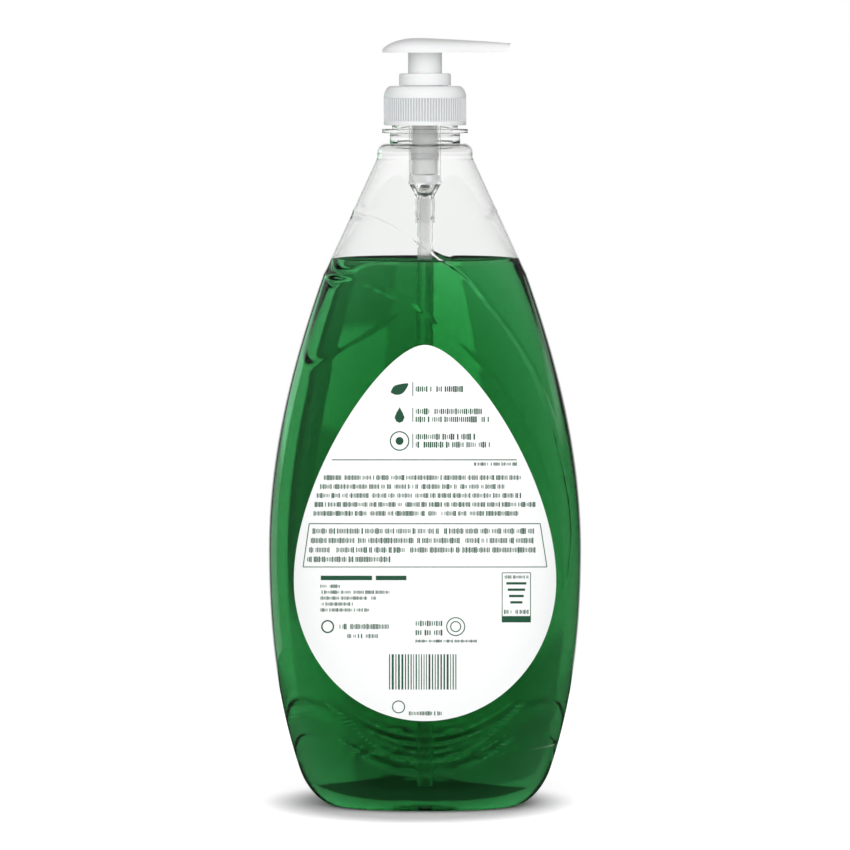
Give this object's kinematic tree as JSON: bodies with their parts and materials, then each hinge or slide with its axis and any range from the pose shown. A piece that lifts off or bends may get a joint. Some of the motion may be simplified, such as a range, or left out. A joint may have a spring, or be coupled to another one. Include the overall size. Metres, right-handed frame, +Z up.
{
  "type": "dish soap bottle",
  "caption": "Clear blown bottle of green dish soap with a waisted oval body, egg-shaped front label, ribbed screw closure and a long-nozzle pump locked down.",
  "frame": {"origin": "centre of the bottle's footprint on the surface it stands on", "axes": "+Z up along the neck and the pump, +X towards the pump's nozzle, -Y towards the labelled front"},
  "size_m": [0.1204, 0.0827, 0.2951],
  "materials": {
    "clear_pet": "clear blown PET, glossy",
    "green_soap": "clear green liquid",
    "white_label": "white film, satin, printed in dark green",
    "gasket_foam": "white foam liner, matt",
    "natural_pp": "natural polypropylene, milky and translucent",
    "white_pp": "white polypropylene, glossy",
    "grey_pe": "soft grey polyethylene",
    "steel": "bright stainless steel"
  },
  "bodies": {
    "bottle": {"bottle": "clear_pet", "dish_soap": "green_soap", "label": "white_label"},
    "gasket": {"gasket": "gasket_foam"},
    "pump": {"pump_housing": "natural_pp", "lock_collar": "white_pp", "dip_tube": "natural_pp", "inlet_ball": "steel", "valve_cage": "white_pp", "spring": "steel"},
    "closure": {"closure": "white_pp"},
    "plunger": {"stem": "natural_pp", "piston": "grey_pe", "outlet_ball": "steel"},
    "head": {"pump_head": "white_pp"}
  },
  "joints": [
    {"name": "lift_off", "type": "slide", "parent": "bottle", "child": "gasket", "axis": [0, 0, 1], "range_m": [0, 0.27]},
    {"name": "thread_rise", "type": "slide", "parent": "gasket", "child": "pump", "axis": [0, 0, 1], "range_m": [0, 0.0053]},
    {"name": "closure_turn", "type": "hinge", "parent": "pump", "child": "closure", "pos_m": [0, 0, 0.269], "axis": [0, 0, 1], "range_deg": [0, 450]},
    {"name": "pump_stroke", "type": "slide", "parent": "pump", "child": "plunger", "axis": [0, 0, 1], "range_m": [0, 0.0135], "deforming": ["spring"]},
    {"name": "head_swivel", "type": "hinge", "parent": "plunger", "child": "head", "pos_m": [0, 0, 0.28], "axis": [0, 0, 1], "continuous": true}
  ],
  "couplings": [
    {"joint": "thread_rise", "follows": "closure_turn", "m_per_rad": 0.00067374}
  ]
}
